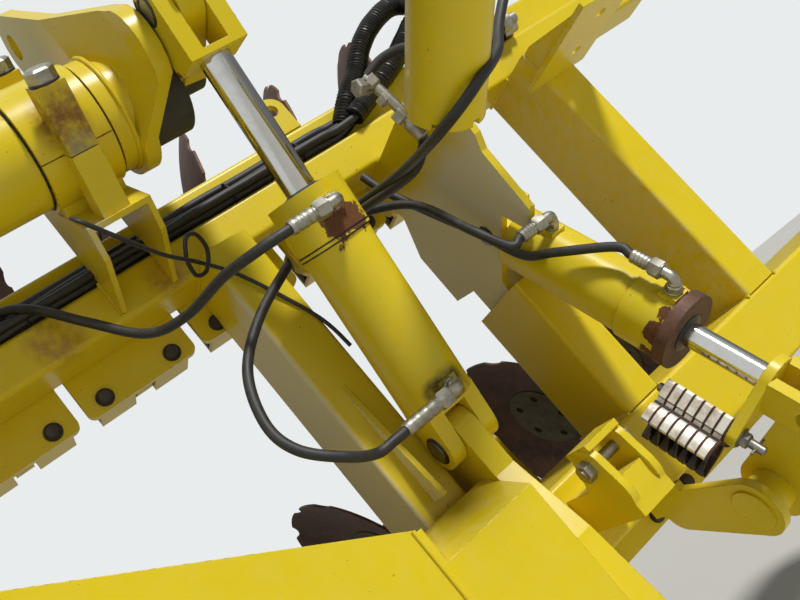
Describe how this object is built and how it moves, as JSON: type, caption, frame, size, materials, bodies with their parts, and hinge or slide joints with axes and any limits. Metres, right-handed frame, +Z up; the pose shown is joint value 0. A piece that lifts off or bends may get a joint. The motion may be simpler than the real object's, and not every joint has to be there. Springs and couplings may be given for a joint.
{
  "type": "folding wing section of a disc harrow",
  "caption": "Folding frame section of a compact disc harrow on its torque tube, with tilt and lift cylinders, rubber-mounted arms and notched discs.",
  "frame": {"origin": "centre of the torque tube's mounting flange, on its outer face", "axes": "+X along the torque tube away from the flange, +Z up along the posts in the folded position, +Y towards the discs"},
  "size_m": [2.56, 1.7177, 2.1219],
  "materials": {
    "frame_paint": "gloss paint, dusty and chipped",
    "zinc_steel": "zinc plated, grubby",
    "chromed_rod": "hard chrome, polished",
    "stop_alloy": "dull, stained",
    "mount_rubber": "matte",
    "hose_rubber": "satin, dusty",
    "disc_steel": "rusty brown"
  },
  "bodies": {
    "carrier": {"torque_tube": "frame_paint", "tilt_arm": "frame_paint", "tilt_pin_core": "zinc_steel"},
    "wing_frame": {"clamp_saddles": "frame_paint", "clamp_caps": "frame_paint", "clamp_bolts": "zinc_steel", "beam_front": "frame_paint", "beam_rear": "frame_paint", "beam_lower": "frame_paint", "post_flange_side": "frame_paint", "post_inner": "frame_paint", "post_middle": "frame_paint", "post_outer": "frame_paint", "boot": "frame_paint", "brace": "frame_paint", "lift_bracket": "frame_paint", "rocker_bracket": "frame_paint", "link_bracket": "frame_paint", "wing_cylinder": "frame_paint", "mounts_upper": "frame_paint", "mounts_lower": "frame_paint", "cords_upper": "mount_rubber", "cords_lower": "mount_rubber", "arms_upper": "frame_paint", "arms_lower": "frame_paint", "hose_bundle": "hose_rubber", "hoses_tilt": "hose_rubber", "hoses_lift": "hose_rubber"},
    "tilt_cylinder_barrel": {"tilt_barrel": "frame_paint", "tilt_fittings": "zinc_steel"},
    "tilt_cylinder_rod": {"tilt_rod": "chromed_rod"},
    "lift_cylinder_barrel": {"lift_barrel": "frame_paint", "lift_fittings": "zinc_steel"},
    "lift_cylinder_rod": {"lift_rod": "chromed_rod", "stop_segments": "stop_alloy"},
    "rocker": {"rocker": "frame_paint"},
    "disc_upper_1": {"disc_upper_1": "disc_steel"},
    "disc_upper_2": {"disc_upper_2": "disc_steel"},
    "disc_upper_3": {"disc_upper_3": "disc_steel"},
    "disc_upper_4": {"disc_upper_4": "disc_steel"},
    "disc_upper_5": {"disc_upper_5": "disc_steel"},
    "disc_upper_6": {"disc_upper_6": "disc_steel"},
    "disc_lower_1": {"disc_lower_1": "disc_steel"},
    "disc_lower_2": {"disc_lower_2": "disc_steel"},
    "disc_lower_3": {"disc_lower_3": "disc_steel"},
    "disc_lower_4": {"disc_lower_4": "disc_steel"},
    "disc_lower_5": {"disc_lower_5": "disc_steel"},
    "disc_lower_6": {"disc_lower_6": "disc_steel"}
  },
  "joints": [
    {"name": "wing_tilt", "type": "hinge", "parent": "carrier", "child": "wing_frame", "pos_m": [0.2625, 0, 0], "axis": [1, 0, 0], "range_deg": [-90, 0]},
    {"name": "tilt_barrel_swing", "type": "hinge", "parent": "wing_frame", "child": "tilt_cylinder_barrel", "pos_m": [1.115, 0.05, -0.925], "axis": [1, 0, 0], "range_deg": [-13.5, 0.2], "deforming": ["hoses_tilt"]},
    {"name": "tilt_rod_slide", "type": "slide", "parent": "tilt_cylinder_barrel", "child": "tilt_cylinder_rod", "axis": [0, -0.2992, 0.9542], "range_m": [-0.2835, 0.001]},
    {"name": "rocker_turn", "type": "hinge", "parent": "wing_frame", "child": "rocker", "pos_m": [1.52, -0.06, -1.4], "axis": [1, 0, 0], "range_deg": [-30, 0]},
    {"name": "lift_barrel_swing", "type": "hinge", "parent": "wing_frame", "child": "lift_cylinder_barrel", "pos_m": [1.52, 0.068, -0.64], "axis": [1, 0, 0], "range_deg": [-0.2, 2.6], "deforming": ["hoses_lift"]},
    {"name": "lift_rod_slide", "type": "slide", "parent": "lift_cylinder_barrel", "child": "lift_cylinder_rod", "axis": [0, -0.4765, -0.8792], "range_m": [-0.1275, 0.001]},
    {"name": "spin_upper_1", "type": "hinge", "parent": "wing_frame", "child": "disc_upper_1", "pos_m": [0.168, 0.62, -0.03], "axis": [0.9519, -0.1338, -0.2756], "continuous": true},
    {"name": "spin_upper_2", "type": "hinge", "parent": "wing_frame", "child": "disc_upper_2", "pos_m": [0.458, 0.62, -0.03], "axis": [0.9519, -0.1338, -0.2756], "continuous": true},
    {"name": "spin_upper_3", "type": "hinge", "parent": "wing_frame", "child": "disc_upper_3", "pos_m": [0.748, 0.62, -0.03], "axis": [0.9519, -0.1338, -0.2756], "continuous": true},
    {"name": "spin_upper_4", "type": "hinge", "parent": "wing_frame", "child": "disc_upper_4", "pos_m": [1.038, 0.62, -0.03], "axis": [0.9519, -0.1338, -0.2756], "continuous": true},
    {"name": "spin_upper_5", "type": "hinge", "parent": "wing_frame", "child": "disc_upper_5", "pos_m": [1.328, 0.62, -0.03], "axis": [0.9519, -0.1338, -0.2756], "continuous": true},
    {"name": "spin_upper_6", "type": "hinge", "parent": "wing_frame", "child": "disc_upper_6", "pos_m": [1.618, 0.62, -0.03], "axis": [0.9519, -0.1338, -0.2756], "continuous": true},
    {"name": "spin_lower_1", "type": "hinge", "parent": "wing_frame", "child": "disc_lower_1", "pos_m": [0.529, 0.62, -1.015], "axis": [-0.9519, -0.1338, -0.2756], "continuous": true},
    {"name": "spin_lower_2", "type": "hinge", "parent": "wing_frame", "child": "disc_lower_2", "pos_m": [0.819, 0.62, -1.015], "axis": [-0.9519, -0.1338, -0.2756], "continuous": true},
    {"name": "spin_lower_3", "type": "hinge", "parent": "wing_frame", "child": "disc_lower_3", "pos_m": [1.109, 0.62, -1.015], "axis": [-0.9519, -0.1338, -0.2756], "continuous": true},
    {"name": "spin_lower_4", "type": "hinge", "parent": "wing_frame", "child": "disc_lower_4", "pos_m": [1.399, 0.62, -1.015], "axis": [-0.9519, -0.1338, -0.2756], "continuous": true},
    {"name": "spin_lower_5", "type": "hinge", "parent": "wing_frame", "child": "disc_lower_5", "pos_m": [1.689, 0.62, -1.015], "axis": [-0.9519, -0.1338, -0.2756], "continuous": true},
    {"name": "spin_lower_6", "type": "hinge", "parent": "wing_frame", "child": "disc_lower_6", "pos_m": [1.979, 0.62, -1.015], "axis": [-0.9519, -0.1338, -0.2756], "continuous": true}
  ],
  "couplings": [
    {"joint": "tilt_barrel_swing", "follows": "wing_tilt", "ratio": 0.14702},
    {"joint": "tilt_rod_slide", "follows": "wing_tilt", "m_per_rad": 0.17989},
    {"joint": "lift_barrel_swing", "follows": "rocker_turn", "ratio": -0.07879},
    {"joint": "lift_rod_slide", "follows": "rocker_turn", "m_per_rad": 0.24141}
  ]
}
